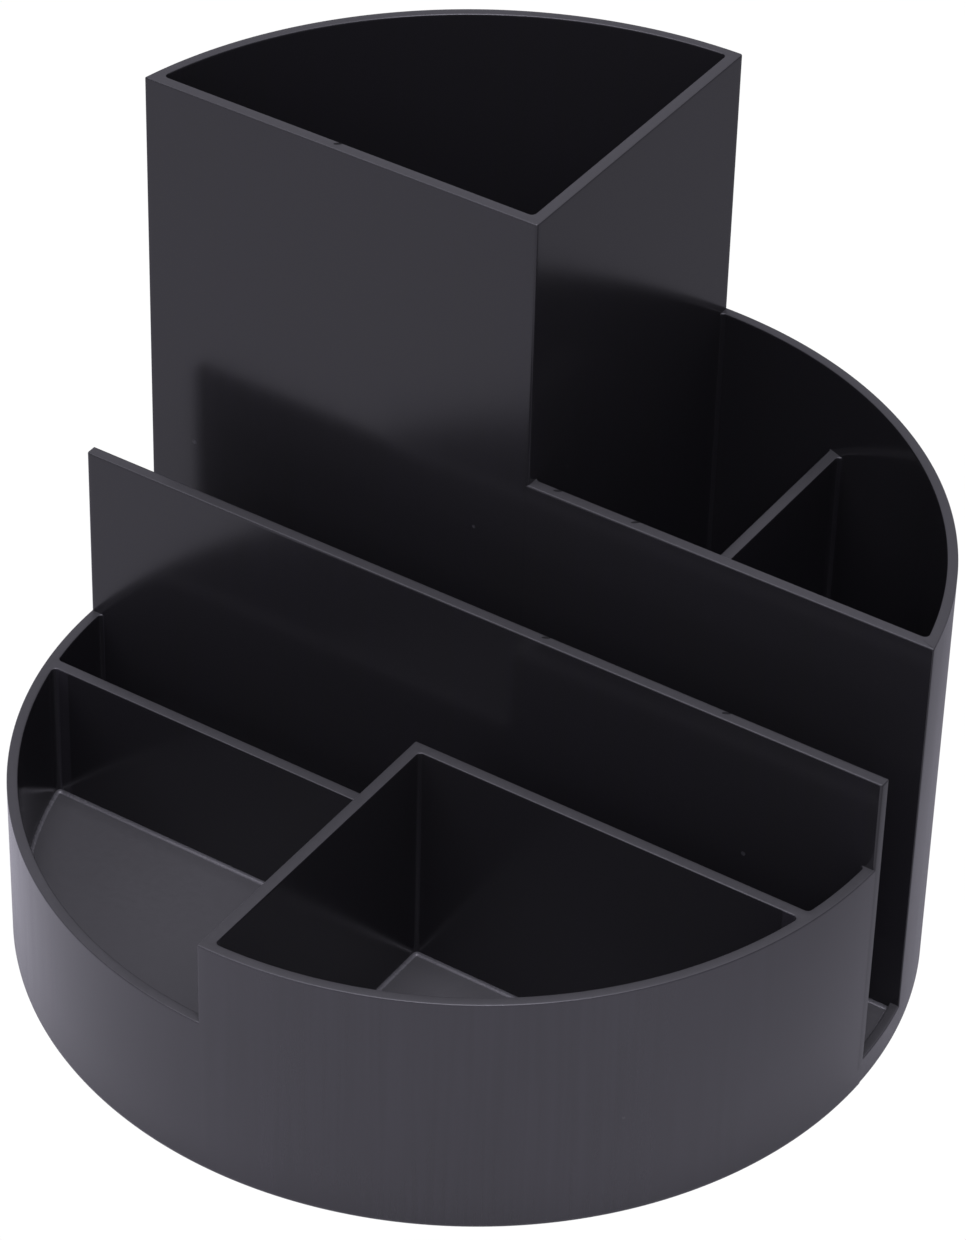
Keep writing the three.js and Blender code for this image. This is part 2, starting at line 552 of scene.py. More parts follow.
class NickTree(GrownTree):
    """The tree that lays a short raised nick at every point of a mesh."""

    SLANTS = (math.radians(-68), math.radians(-44))

    @classmethod
    @cache
    def build(cls) -> bpy.types.GeometryNodeTree:
        """Builds the tree: a stretched ball at each point, turned at random between the two slants.

        Returns:
            The tree, with the inputs Geometry, Length, Width, Seed and Finish.
        """
        tree, given = cls.start("rim_nicks", {"Length": "Float", "Width": "Float", "Seed": "Int"})
        ball = add_node(tree, "GeometryNodeMeshUVSphere", {"Segments": 14, "Rings": 8, "Radius": 0.5})
        width, length = given.outputs["Width"], given.outputs["Length"]
        size = add_node(tree, "ShaderNodeCombineXYZ", {"X": width, "Y": length, "Z": width})
        seed = {"Seed": given.outputs["Seed"]}
        turn = add_node(tree, "FunctionNodeRandomValue", seed, data_type="FLOAT_VECTOR")
        for label, slant in zip(("Min", "Max"), cls.SLANTS):
            turn.inputs[label].default_value = (0.0, 0.0, slant)
        copies = {
            "Points": given.outputs["Geometry"],
            "Instance": ball.outputs["Mesh"],
            "Rotation": turn.outputs[0],
            "Scale": size.outputs[0],
        }
        cls.end(tree, given, add_node(tree, "GeometryNodeInstanceOnPoints", copies).outputs["Instances"])
        return tree


def grow(
    name: str,
    tree: bpy.types.GeometryNodeTree,
    points: Sequence[Sequence[float]],
    closed: bool,
    **values: object,
) -> bpy.types.Object:
    """Runs a Geometry Nodes tree on a row of points and keeps the result as a plain mesh.

    Args:
        name: the new object's name.
        tree: the tree.
        points: the points in metres.
        closed: True to join them into a closed path.
        values: the tree's inputs by name.

    Returns:
        The object, linked to the scene.
    """
    path = bpy.data.meshes.new(name + "_path")
    edges = [(i, (i + 1) % len(points)) for i in range(len(points))] if closed else []
    path.from_pydata([tuple(p) for p in points], edges, [])
    source = bpy.data.objects.new(name + "_path", path)
    bpy.context.scene.collection.objects.link(source)
    modifier = source.modifiers.new(name, "NODES")
    modifier.node_group = tree
    for item in tree.interface.items_tree:
        if item.item_type == "SOCKET" and item.in_out == "INPUT" and item.name in values:
            modifier[item.identifier] = values[item.name]
    graph = bpy.context.evaluated_depsgraph_get()
    grown = bpy.data.meshes.new_from_object(source.evaluated_get(graph))
    bpy.data.objects.remove(source)
    bpy.data.meshes.remove(path)
    bm = bmesh.new()
    bm.from_mesh(grown)
    bmesh.ops.recalc_face_normals(bm, faces=bm.faces)
    grown.name = name
    return piece(name, bm, grown)


# ---------------------------------------------------------------- finishes


class NodeGroups:
    """Shader node groups that several finishes share, each built once."""

    @staticmethod
    def start(
        name: str, inputs: dict[str, float], output: str
    ) -> tuple[bpy.types.ShaderNodeTree, bpy.types.Node]:
        """Makes an empty group with a Vector input and one output.

        Args:
            name: the group's name.
            inputs: the other inputs and their defaults.
            output: the output's name.

        Returns:
            The group and its input node.
        """
        tree = bpy.data.node_groups.new(name, "ShaderNodeTree")
        sockets = tree.interface
        sockets.new_socket("Vector", in_out="INPUT", socket_type="NodeSocketVector")
        for label, value in inputs.items():
            sockets.new_socket(label, in_out="INPUT", socket_type="NodeSocketFloat").default_value = value
        sockets.new_socket(output, in_out="OUTPUT", socket_type="NodeSocketFloat")
        return tree, tree.nodes.new("NodeGroupInput")

    @classmethod
    @cache
    def grain(cls) -> bpy.types.ShaderNodeTree:
        """Builds the fine grain of a mould surface: a height made of two noises.

        Returns:
            The group, with the inputs Vector, Scale and Coarse and the output Height.
        """
        tree, given = cls.start("mould_grain", {"Scale": 2600.0, "Coarse": 0.35}, "Height")
        where, scale = given.outputs["Vector"], given.outputs["Scale"]
        slow = maths(tree, "MULTIPLY", scale, 0.06)
        fine = add_node(tree, "ShaderNodeTexNoise", {"Vector": where, "Scale": scale, "Detail": 2.0})
        broad = add_node(tree, "ShaderNodeTexNoise", {"Vector": where, "Scale": slow, "Detail": 1.0})
        parts = {"Factor": given.outputs["Coarse"], "A": fine.outputs["Fac"], "B": broad.outputs["Fac"]}
        mix = add_node(tree, "ShaderNodeMix", parts)
        add_node(tree, "NodeGroupOutput", {"Height": mix.outputs["Result"]})
        return tree

    @classmethod
    @cache
    def flow(cls) -> bpy.types.ShaderNodeTree:
        """Builds the upright flow streaks and soft clouds that moulding leaves in black plastic.

        Returns:
            The group, with the inputs Vector, Streaks and Clouds and the output Mask.
        """
        tree, given = cls.start("mould_flow", {"Streaks": 900.0, "Clouds": 28.0}, "Mask")
        where, often, slowly = (given.outputs[label] for label in ("Vector", "Streaks", "Clouds"))
        stretch = {0: where, 1: (1.0, 1.0, 0.03)}
        upright = add_node(tree, "ShaderNodeVectorMath", stretch, operation="MULTIPLY").outputs[0]
        streaks = add_node(tree, "ShaderNodeTexNoise", {"Vector": upright, "Scale": often, "Detail": 3.0})
        clouds = add_node(tree, "ShaderNodeTexNoise", {"Vector": where, "Scale": slowly, "Detail": 2.0})
        parts = {"Factor": 0.45, "A": streaks.outputs["Fac"], "B": clouds.outputs["Fac"]}
        mix = add_node(tree, "ShaderNodeMix", parts)
        add_node(tree, "NodeGroupOutput", {"Mask": mix.outputs["Result"]})
        return tree

    @classmethod
    @cache
    def specks(cls) -> bpy.types.ShaderNodeTree:
        """Builds scattered dust specks: a small round dot in each cell, with most of them left out.

        Returns:
            The group, with the inputs Vector, Spacing, Size and Share and the output Mask.
        """
        tree, given = cls.start("dust_specks", {"Spacing": 330.0, "Size": 0.12, "Share": 0.03}, "Mask")
        places = {"Vector": given.outputs["Vector"], "Scale": given.outputs["Spacing"]}
        cells = add_node(tree, "ShaderNodeTexVoronoi", places)
        near = maths(tree, "LESS_THAN", cells.outputs["Distance"], given.outputs["Size"])
        draw = add_node(tree, "ShaderNodeSeparateColor", {"Color": cells.outputs["Color"]}).outputs["Red"]
        chosen = maths(tree, "LESS_THAN", draw, given.outputs["Share"])
        add_node(tree, "NodeGroupOutput", {"Mask": maths(tree, "MULTIPLY", near, chosen)})
        return tree


@dataclass(frozen=True)
class PlasticFinish:
    """A moulded black plastic surface."""

    name: str
    dark: tuple[float, float, float]
    light: tuple[float, float, float]
    dust: tuple[float, float, float] = (0.034, 0.034, 0.036)
    rough_low: float = 0.24
    rough_high: float = 0.32
    grain_scale: float = 2600.0
    grain_height: float = 0.03
    speck_share: float = 0.012
    ior: float = 1.5

    MIX_INPUTS: ClassVar[tuple[int, int, int]] = (0, 6, 7)
    MIX_OUTPUT: ClassVar[int] = 2

    @cache
    def build(self) -> bpy.types.Material:
        """Builds the material once.

        Returns:
            The material, which reads Object coordinates only.
        """
        material = bpy.data.materials.new(self.name)
        material.use_nodes = True
        tree = material.node_tree
        tree.nodes.clear()
        where = add_node(tree, "ShaderNodeTexCoord", {}).outputs["Object"]
        grain = add_node(tree, "ShaderNodeGroup", {}, node_tree=NodeGroups.grain())
        flow = add_node(tree, "ShaderNodeGroup", {}, node_tree=NodeGroups.flow())
        specks = add_node(tree, "ShaderNodeGroup", {}, node_tree=NodeGroups.specks())
        for group in (grain, flow, specks):
            tree.links.new(where, group.inputs["Vector"])
        grain.inputs["Scale"].default_value = self.grain_scale
        specks.inputs["Share"].default_value = self.speck_share
        colour = (*self.dark, 1.0)
        for mask, other in ((flow, self.light), (specks, self.dust)):
            sockets = dict(zip(self.MIX_INPUTS, (mask.outputs["Mask"], colour, (*other, 1.0))))
            colour = add_node(tree, "ShaderNodeMix", sockets, data_type="RGBA").outputs[self.MIX_OUTPUT]
        ends = {"From Min": 0.3, "From Max": 0.7, "To Min": self.rough_low, "To Max": self.rough_high}
        rough = add_node(tree, "ShaderNodeMapRange", {"Value": flow.outputs["Mask"], **ends})
        relief = {"Strength": 0.5, "Distance": self.grain_height * MM, "Height": grain.outputs["Height"]}
        look = {
            "IOR": self.ior,
            "Base Color": colour,
            "Roughness": rough.outputs["Result"],
            "Normal": add_node(tree, "ShaderNodeBump", relief).outputs["Normal"],
        }
        shader = add_node(tree, "ShaderNodeBsdfPrincipled", look)
        add_node(tree, "ShaderNodeOutputMaterial", {"Surface": shader.outputs["BSDF"]})
        return material


SATIN = PlasticFinish(
    "satin_black_plastic",
    (0.0115, 0.0112, 0.0117),
    (0.0262, 0.0249, 0.0298),
    rough_low=0.2,
    rough_high=0.26,
    grain_height=0.012,
    ior=1.51,
)
GLOSS = PlasticFinish(
    "gloss_black_plastic",
    (0.0120, 0.0120, 0.0113),
    (0.0126, 0.0119, 0.0150),
    rough_low=0.165,
    rough_high=0.205,
    grain_scale=1800.0,
    grain_height=0.006,
    speck_share=0.006,
    ior=1.41,
)
# Painted shade: the nicks' near-black colour and weak reflection stand in for the shade inside small dents on the
# rims.
NICK_PAINTED_SHADE = PlasticFinish(
    "nick_painted_shade_plastic",
    (0.0035, 0.0035, 0.0036),
    (0.0050, 0.0050, 0.0052),
    rough_low=0.5,
    rough_high=0.6,
    speck_share=0.0,
    ior=1.22,
)
# Painted light: a lighter copy of the black plastic for the up-facing rim tops, so they read brighter than the
# walls; its rougher finish is real.
RIM_PAINTED_LIGHT = PlasticFinish(
    "rim_painted_light_plastic",
    (0.030, 0.0298, 0.0304),
    (0.039, 0.0388, 0.0394),
    rough_low=0.36,
    rough_high=0.46,
    grain_scale=1500.0,
    grain_height=0.015,
    speck_share=0.004,
)
# Painted light: a lighter copy of the black plastic for the up-facing bay floors; its rougher matt finish is real.
FLOOR_PAINTED_LIGHT = PlasticFinish(
    "floor_painted_light_plastic",
    (0.043, 0.0428, 0.0434),
    (0.052, 0.0517, 0.0526),
    rough_low=0.5,
    rough_high=0.6,
    grain_scale=1500.0,
    grain_height=0.02,
    speck_share=0.01,
)
# Painted highlight: the coves' base colour, about twice as light as the floor's, stands in for the thin bright
# highlight lines along the floor corners.
COVE_PAINTED_HIGHLIGHT = PlasticFinish(
    "cove_painted_highlight_plastic",
    (0.080, 0.0795, 0.082),
    (0.115, 0.1145, 0.117),
    rough_low=0.24,
    rough_high=0.3,
    grain_height=0.01,
    speck_share=0.0,
)


# ---------------------------------------------------------------- sizes from the frame


@dataclass(frozen=True)
class Layout:
    """The organizer's sizes in metres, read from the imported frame.

    The sizes with a value here are the looks' own. rear_set_back is how far the rear half stands back from the
    tray. edge, crisp and corner are roundings, cove is the fillet at the floors, and lip is the depth of a stepped
    joint. bury, reach and tuck say how far a wall runs on inside its neighbour, so that no two faces coincide.
    """

    radius: float
    inner: float
    floor: float
    sill_top: float
    low_rim: float
    high_rim: float
    slot_top: float
    divider_top: float
    block_top: float
    tower_top: float
    slot_front: float
    slot_back: float
    panel_front: float
    panel_back: float
    step_front: float
    step_back: float
    tower_inner: float
    tower_side: float
    divider_left: float
    divider_right: float
    split_left: float
    split_right: float
    rear_set_back: float = 0.09 * MM
    edge: float = 0.4 * MM
    crisp: float = 0.18 * MM
    corner: float = 0.75 * MM
    cove: float = 0.5 * MM
    lip: float = 0.6 * MM
    bury: float = 1.1 * MM
    reach: float = 0.65 * MM
    tuck: float = 0.02 * MM

    @classmethod
    def from_frame(cls) -> "Layout":
        """Reads every size from the boxes of the CAD nodes.

        Returns:
            The layout.
        """
        plate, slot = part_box("base_plate"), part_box("slot_wall")
        panel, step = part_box("block_front_wall"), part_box("tray_step_wall_high")
        side, divider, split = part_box("tower_side_wall"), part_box("block_divider"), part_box("tray_split_wall")
        joint = slot[0].z - plate[1].z
        return cls(
            radius=plate[1].x,
            inner=math.hypot(step[1].x, step[1].y) + joint,
            floor=plate[1].z,
            sill_top=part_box("slot_sill_right")[1].z,
            low_rim=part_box("tray_low_wall")[1].z,
            high_rim=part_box("tray_high_wall")[1].z,
            slot_top=slot[1].z,
            divider_top=divider[1].z,
            block_top=panel[1].z,
            tower_top=side[1].z,
            slot_front=slot[0].y,
            slot_back=slot[1].y,
            panel_front=panel[0].y,
            panel_back=panel[1].y,
            step_front=step[0].y,
            step_back=step[1].y,
            tower_inner=side[0].x,
            tower_side=side[1].x,
            divider_left=divider[0].x,
            divider_right=divider[1].x,
            split_left=split[0].x,
            split_right=split[1].x,
        )

    @property
    def rear_radius(self) -> float:
        """Gives the outer radius of the rear half.

        Returns:
            The radius, a hair smaller than the tray's.
        """
        return self.radius - self.rear_set_back

    @property
    def panel_mid(self) -> float:
        """Gives the middle of the wall between the letter slot and the rear bays.

        Returns:
            Its y.
        """
        return 0.5 * (self.panel_front + self.panel_back)


# ---------------------------------------------------------------- sub-assemblies


class Slot(Enum):
    """The record's material slots."""

    SHELL = "satin_shell"
    PARTITION = "gloss_partition"


FINISHES = {Slot.SHELL: SATIN, Slot.PARTITION: GLOSS}


@dataclass
class SubAssembly:
    """A group of walls that share a height and a rim."""

    LEVEL_FROM: ClassVar[float] = 0.8
    INWARD_FROM: ClassVar[float] = -0.3

    at: Layout
    rim: Rim = Rim(0.22 * MM, 4)
    # The rim tops take a lighter copy of the plastic, painted light.
    upward: PlasticFinish = RIM_PAINTED_LIGHT
    made: list[bpy.types.Object] = field(default_factory=list)

    def dress(self, name: str, bm: bmesh.types.BMesh, slot: Slot, *stands_for: str) -> None:
        """Turns a solid into a finished piece, with a lighter copy of the plastic on top as painted light and
        gloss on what faces inwards.

        Args:
            name: the piece's name.
            bm: its solid.
            slot: the record's material slot.
            stands_for: the CAD nodes that it replaces.
        """
        # Faces that point up take the lighter top finish, which paints light onto the tops.
        for face in bm.faces:
            outward = face.normal.xy.dot(face.calc_center_median().xy.normalized())
            face.material_index = 1 if face.normal.z > self.LEVEL_FROM else 2 * (outward < self.INWARD_FROM)
        made = piece(name, bm)
        for finish in (FINISHES[slot], self.upward, GLOSS):
            made.data.materials.append(finish.build())
        self.keep(made, slot, *stands_for)

    def keep(self, made: bpy.types.Object, slot: Slot, *stands_for: str) -> None:
        """Fixes a piece to the organizer and notes it.

        Args:
            made: the piece.
            slot: not used.
            stands_for: the CAD nodes that it replaces.
        """
        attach(made, "root")
        if stands_for:
            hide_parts(*stands_for)
        self.made.append(made)


@dataclass
class Tower(SubAssembly):
    """The tall pen tower, a quarter disc in plan, cut into its three walls."""

    def build(self) -> None:
        """Builds the tower's ring of walls and cuts it at its corners."""
        at = self.at
        outer = Outline(
            (
                Corner(*at_y(at.rear_radius, at.panel_front, -1), at.crisp),
                Corner(at.tower_side, at.panel_front, at.edge),
                Corner(*at_x(at.rear_radius, at.tower_side, 1), at.edge, Run.ARC_LEFT),
            )
        ).points()
        inner = Outline(
            (
                Corner(*at_y(at.inner, at.panel_back, -1), at.corner, Run.ARC_RIGHT),
                Corner(*at_x(at.inner, at.tower_inner, 1), at.corner),
                Corner(at.tower_inner, at.panel_back, at.corner),
            )
        ).points()
        ring = prism([outer, inner], at.floor, at.tower_top, self.rim)
        centre = (-0.4 * at.inner, 0.5 * at.inner)
        mid_x = 0.5 * (at.tower_inner + at.tower_side)
        left, near, far = at_y(at.radius, at.panel_mid, -1), (mid_x, at.panel_mid), at_x(at.radius, mid_x, 1)
        for name, start, end, slot in (
            ("tower_front", left, near, Slot.PARTITION),
            ("tower_side", near, far, Slot.PARTITION),
            ("tower_curved", far, left, Slot.SHELL),
        ):
            self.dress(name, sector(ring, centre, start, end), slot, name + "_wall")
        ring.free()


@dataclass
class Block(SubAssembly):
    """The half-height block beside the tower, with its divider."""

    def build(self) -> None:
        """Builds the block's bent wall, cuts it at its corner, and adds the divider."""
        at = self.at
        hidden, face = at.tower_side - at.bury, at.tower_side - at.tuck
        flush = at.tower_side - at.edge - at.tuck
        start_y = at.panel_back + at.corner + at.reach
        end_y = at_x(at.inner - at.corner, at.tower_side + at.corner, 1)[1] - at.reach
        wall = Outline(
            (
                Corner(hidden, at.panel_front + at.lip),
                Corner(flush, at.panel_front + at.lip),
                Corner(flush, at.panel_front),
                Corner(*at_y(at.rear_radius, at.panel_front, 1), at.crisp, Run.ARC_LEFT),
                Corner(*at_x(at.rear_radius, flush, 1)),
                Corner(flush, at.rear_radius - at.lip),
                Corner(hidden, at.rear_radius - at.lip),
                Corner(hidden, end_y),
                Corner(face, end_y),
                Corner(*at_x(at.inner, face, 1), at.corner, Run.ARC_RIGHT),
                Corner(*at_y(at.inner, at.panel_back, 1), at.corner),
                Corner(face, at.panel_back, at.corner),
                Corner(face, start_y),
                Corner(hidden, start_y),
            )
        ).points()
        solid = prism([wall], at.floor, at.block_top, self.rim)
        centre = (0.35 * at.inner, 0.45 * at.inner)
        right = at_y(at.radius, at.panel_mid, 1)
        left, back = (at.tower_side - 5.0 * MM, at.panel_mid), (at.tower_side - 2.0 * MM, at.radius)
        self.dress("block_front", sector(solid, centre, left, right), Slot.PARTITION, "block_front_wall")
        self.dress("block_curved", sector(solid, centre, right, back), Slot.SHELL, "block_curved_wall")
        solid.free()
        self.divider()

    def divider(self) -> None:
        """Builds the divider, flared where it meets the front panel and the curved wall."""
        at = self.at
        flare = at.corner
        left, right = at.divider_left, at.divider_right
        panel, bend = at.panel_back - at.tuck, at.inner + at.tuck
        deep_front, deep_back = at.panel_back - at.bury, at.inner + at.bury
        wide = 1.2 * flare + at.reach
        outline = Outline(
            (
                Corner(left - wide, panel),
                Corner(left - wide, deep_front),
                Corner(right + wide, deep_front),
                Corner(right + wide, panel),
                Corner(right, panel, flare),
                Corner(*at_x(bend, right, 1), flare, Run.ARC_RIGHT),
                Corner(*at_x(bend, right + wide, 1)),
                Corner(*at_x(deep_back, right + wide, 1), 0.0, Run.ARC_LEFT),
                Corner(*at_x(deep_back, left - wide, 1)),
                Corner(*at_x(bend, left - wide, 1), 0.0, Run.ARC_RIGHT),
                Corner(*at_x(bend, left, 1), flare),
                Corner(left, panel, flare),
            )
        ).points()
        solid = prism([outline], at.floor, at.divider_top, self.rim)
        self.dress("block_divider_wall", solid, Slot.PARTITION, "block_divider")


@dataclass
class LetterSlot(SubAssembly):
    """The letter slot's front wall, and the low sills at its open ends."""

    sill_rim: Rim = Rim(0.3 * MM, 4, 0.1 * MM)

    def build(self) -> None:
        """Builds the slot's wall and both sills."""
        at = self.at
        bar = Outline(
            (
                Corner(*at_y(at.radius, at.slot_front, -1), at.edge),
                Corner(*at_y(at.radius, at.slot_front, 1), at.edge, Run.ARC_LEFT),
                Corner(*at_y(at.radius, at.slot_back, 1), at.crisp),
                Corner(*at_y(at.radius, at.slot_back, -1), at.crisp, Run.ARC_LEFT),
            )
        ).points()
        wall = prism([bar], at.floor, at.slot_top, self.rim)
        self.dress("slot_front_wall", wall, Slot.PARTITION, "slot_wall")
        low, high = at.slot_back - at.edge, at.panel_front + at.edge
        for side, name in ((1, "right"), (-1, "left")):
            ends = (low, high) if side > 0 else (high, low)
            sill = Outline(
                (
                    Corner(*at_y(at.rear_radius, ends[0], side), 0.0, Run.ARC_LEFT),
                    Corner(*at_y(at.rear_radius, ends[1], side)),
                    Corner(*at_y(at.inner, ends[1], side), 0.0, Run.ARC_RIGHT),
                    Corner(*at_y(at.inner, ends[0], side)),
                )
            ).points()
            solid = prism([sill], at.floor, at.sill_top, self.sill_rim)
            self.dress("sill_" + name, solid, Slot.SHELL, "slot_sill_" + name)


@dataclass
class Tray(SubAssembly):
    """The front tray: a high half on the right and a low half on the left."""

    CUT_DEPTH: ClassVar[float] = 0.9

    step_edge: float = 0.25 * MM
    step_corner: float = 0.2 * MM
    cut_past: float = 3.0 * MM

    def build(self) -> None:
        """Builds both halves of the tray."""
        self.high_half()
        self.low_half()

    def high_half(self) -> None:
        """Builds the deep bay's walls and cuts them at their corners."""
        at = self.at
        deep, face = at.slot_front + at.bury, at.slot_front + at.tuck
        flush = at.slot_front + at.edge + at.tuck
        end_x = at_y(at.inner - at.corner, at.slot_front - at.corner, 1)[0] - at.reach
        outer = Outline(
            (
                Corner(*at_x(at.radius, at.split_left, -1), self.step_edge, Run.ARC_LEFT),
                Corner(*at_y(at.radius, flush, 1)),
                Corner(*at_y(at.radius - at.lip, flush, 1)),
                Corner(*at_y(at.radius - at.lip, deep, 1)),
                Corner(end_x, deep),
                Corner(end_x, face),
                Corner(*at_y(at.inner, face, 1), at.corner, Run.ARC_RIGHT),
                Corner(*at_y(at.inner, at.step_back, 1), at.corner),
                Corner(at.split_left, at.step_back, self.step_corner),
            )
        ).points()
        bay = Outline(
            (
                Corner(at.split_right, at.step_front, at.corner),
                Corner(*at_y(at.inner, at.step_front, 1), at.corner, Run.ARC_RIGHT),
                Corner(*at_x(at.inner, at.split_right, -1), at.corner),
            )
        ).points()
        solid = prism([outer, bay], at.floor, at.high_rim, self.rim)
        centre = (0.4 * at.inner, -0.5 * at.inner)
        mid_x = 0.5 * (at.split_left + at.split_right)
        mid_y = 0.5 * (at.step_front + at.step_back)
        turn, end, past = self.step_end(1), self.CUT_DEPTH * at.slot_front, -self.cut_past
        foot = at_x(at.inner, mid_x, -1)[1] + 1.2 * MM
        plan = (turn, (turn[0], end), (past, end), (past, foot), (at.split_right + MM, foot), centre)
        self.dress("tray_high", carve(solid, plan, False), Slot.SHELL, "tray_high_wall")
        inner = carve(solid, plan, True)
        step, split = half(inner, (mid_x, mid_y), centre), half(inner, centre, (mid_x, mid_y))
        self.dress("tray_step_high", step, Slot.PARTITION, "tray_step_wall_high")
        self.dress("tray_split", split, Slot.PARTITION, "tray_split_wall")
        solid.free()
        inner.free()

    def step_end(self, side: int) -> Point:
        """Gives the point in a front bay from which its step wall is cut off its curved wall.

        Args:
            side: 1 for the deep bay on the right, -1 for the shallow one on the left.

        Returns:
            The point.
        """
        at = self.at
        return at_y(at.inner - 2.6 * MM, at.step_front, side)[0], at.step_front - self.cut_past

    def low_half(self) -> None:
        """Builds the shallow bay's curved wall and the low step wall."""
        at = self.at
        slot_deep, slot_face = at.slot_front + at.bury, at.slot_front + at.tuck
        split_deep, split_face = at.split_left + at.bury, at.split_left + at.tuck
        flush_x, flush_y = at.split_left + self.step_edge + at.tuck, at.slot_front + at.edge + at.tuck
        end_x = at_y(at.inner - at.corner, slot_face - at.corner, -1)[0] + at.reach
        front_y = at_x(at.inner - at.corner, split_face - at.corner, -1)[1] + at.reach
        step_y = at.step_front - at.corner - at.reach
        outline = Outline(
            (
                Corner(*at_y(at.radius - at.lip, slot_deep, -1)),
                Corner(*at_y(at.radius - at.lip, flush_y, -1)),
                Corner(*at_y(at.radius, flush_y, -1), 0.0, Run.ARC_LEFT),
                Corner(*at_x(at.radius, flush_x, -1)),
                Corner(*at_x(at.radius - at.lip, flush_x, -1)),
                Corner(*at_x(at.radius - at.lip, split_deep, -1)),
                Corner(split_deep, front_y),
                Corner(split_face, front_y),
                Corner(*at_x(at.inner, split_face, -1), at.corner, Run.ARC_RIGHT),
                Corner(*at_y(at.inner, at.step_front, -1), at.corner),
                Corner(split_face, at.step_front, at.corner),
                Corner(split_face, step_y),
                Corner(split_deep, step_y),
                Corner(split_deep, at.step_back),
                Corner(*at_y(at.inner, at.step_back, -1), at.corner, Run.ARC_RIGHT),
                Corner(*at_y(at.inner, slot_face, -1), at.corner),
                Corner(end_x, slot_face),
                Corner(end_x, slot_deep),
            )
        ).points()
        solid = prism([outline], at.floor, at.low_rim, self.rim)
        turn, end, past = self.step_end(-1), self.CUT_DEPTH * at.slot_front, self.cut_past
        plan = (turn, (past, turn[1]), (past, end), (turn[0], end))
        self.dress("tray_step_low", carve(solid, plan, True), Slot.PARTITION, "tray_step_wall_low")
        self.dress("tray_low", carve(solid, plan, False), Slot.SHELL, "tray_low_wall")
        solid.free()


@dataclass
class Base(SubAssembly):
    """The round floor with its foot ring, and the coves where the walls rise from it."""

    # The bay floors take a lighter copy of the plastic, painted light.
    upward: PlasticFinish = FLOOR_PAINTED_LIGHT
    edge_rim: Rim = Rim(0.8 * MM, 5, 0.2 * MM)
    foot_width: float = 7.0 * MM
    recess: float = 0.8 * MM
    recess_edge: Point = (0.25 * MM, 0.08 * MM)
    recess_slope: float = 0.4 * MM
    rear_from: float = 0.3 * MM
    cove_overlap: float = 0.05 * MM

    def build(self) -> None:
        """Builds the floor plate, its recessed underside and the coves round every bay."""
        self.plate()
        for name, bay in self.bays().items():
            # The coves wear a painted highlight in their colour.
            made = grow(
                "cove_" + name,
                CoveTree.build(),
                [(p.x, p.y, self.at.floor) for p in Outline(bay).points()],
                True,
                Radius=self.at.cove,
                Overlap=self.cove_overlap,
                Finish=COVE_PAINTED_HIGHLIGHT.build(),
            )
            self.keep(made, Slot.PARTITION)

    def plate(self) -> None:
        """Builds the floor plate with a shallow round recess underneath."""
        at = self.at
        outline = Outline(
            (
                Corner(*at_y(at.radius, at.slot_back - at.edge, -1), 0.0, Run.ARC_LEFT),
                Corner(*at_y(at.radius, at.slot_back - at.edge, 1)),
                Corner(*at_y(at.rear_radius, at.slot_back - self.rear_from, 1), 0.0, Run.ARC_LEFT),
                Corner(*at_y(at.rear_radius, at.slot_back - self.rear_from, -1)),
            )
        ).points()
        bm = bmesh.new()
        levels = self.edge_rim.levels(0.0, upward=False)[::-1] + [(at.floor, 0.0)]
        bottom, top = raise_sides(bm, outline, levels)
        foot = at.radius - self.foot_width
        ring = [Vector((foot * math.cos(a), foot * math.sin(a))) for a in map(math.radians, range(0, 360, 2))]
        inset, height = self.recess_edge
        mouth, roof = raise_sides(bm, ring, [(0.0, 0.0), (height, inset), (self.recess, self.recess_slope)])
        cap(bm, [bottom, mouth])
        cap(bm, [top])
        cap(bm, [roof])
        bmesh.ops.recalc_face_normals(bm, faces=bm.faces)
        self.dress("base", bm, Slot.SHELL, "base_plate")

    def bays(self) -> dict[str, tuple[Corner, ...]]:
        """Lists the outline of every bay at the floor, clockwise, with the walls on its left.

        Returns:
            The outlines by bay name.
        """
        at = self.at
        bend, right_way = at.corner, Run.ARC_RIGHT
        return {
            "tower": (
                Corner(*at_y(at.inner, at.panel_back, -1), bend, right_way),
                Corner(*at_x(at.inner, at.tower_inner, 1), bend),
                Corner(at.tower_inner, at.panel_back, bend),
            ),
            "rear_narrow": (
                Corner(at.tower_side, at.panel_back, bend),
                Corner(*at_x(at.inner, at.tower_side, 1), bend, right_way),
                Corner(*at_x(at.inner, at.divider_left, 1), bend),
                Corner(at.divider_left, at.panel_back, bend),
            ),
            "rear_wide": (
                Corner(at.divider_right, at.panel_back, bend),
                Corner(*at_x(at.inner, at.divider_right, 1), bend, right_way),
                Corner(*at_y(at.inner, at.panel_back, 1), bend),
            ),
            "slot": (
                Corner(*at_y(at.inner, at.slot_back, -1), 0.0, right_way),
                Corner(*at_y(at.inner, at.panel_front, -1)),
                Corner(*at_y(at.inner, at.panel_front, 1), 0.0, right_way),
                Corner(*at_y(at.inner, at.slot_back, 1)),
            ),
            "long_front": (
                Corner(*at_y(at.inner, at.step_back, -1), bend, right_way),
                Corner(*at_y(at.inner, at.slot_front, -1), bend),
                Corner(*at_y(at.inner, at.slot_front, 1), bend, right_way),
                Corner(*at_y(at.inner, at.step_back, 1), bend),
            ),
            "front_left": (
                Corner(*at_x(at.inner, at.split_left, -1), bend, right_way),
                Corner(*at_y(at.inner, at.step_front, -1), bend),
                Corner(at.split_left, at.step_front, bend),
            ),
            "front_right": (
                Corner(at.split_right, at.step_front, bend),
                Corner(*at_y(at.inner, at.step_front, 1), bend, right_way),
                Corner(*at_x(at.inner, at.split_right, -1), bend),
            ),
        }


